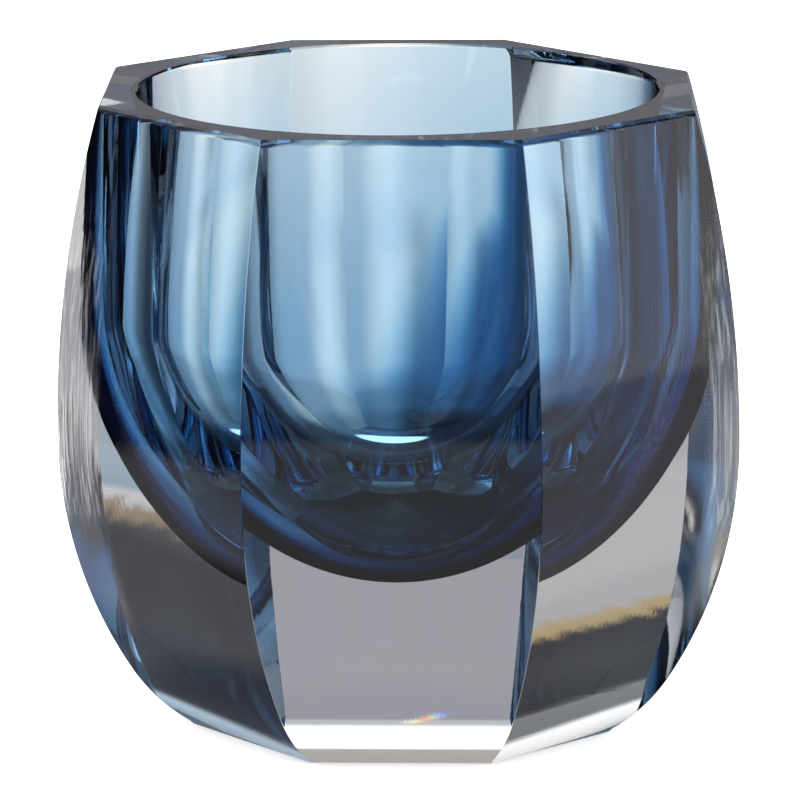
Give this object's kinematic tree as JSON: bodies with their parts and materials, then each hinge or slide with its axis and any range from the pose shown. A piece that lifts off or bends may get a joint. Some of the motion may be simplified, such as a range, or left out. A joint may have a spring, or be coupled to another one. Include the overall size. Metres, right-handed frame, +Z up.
{
  "type": "cut crystal vase",
  "caption": "Heavy barrel-shaped vase of clear crystal cut with vertical faces, flat polished rim and base, fused round a deep blue glass cup that holds the round-bottomed cavity.",
  "frame": {"origin": "on the table, under the middle of the round opening", "axes": "+Z up the vase, -Y towards the front face, +X to the right of somebody looking at the front"},
  "size_m": [0.1545, 0.1515, 0.146],
  "materials": {
    "clear_crystal": "cut and polished, clear",
    "blue_glass": "polished, deep steel blue"
  },
  "bodies": {
    "root": {"crystal_casing": "clear_crystal", "blue_cup": "blue_glass"}
  },
  "joints": []
}
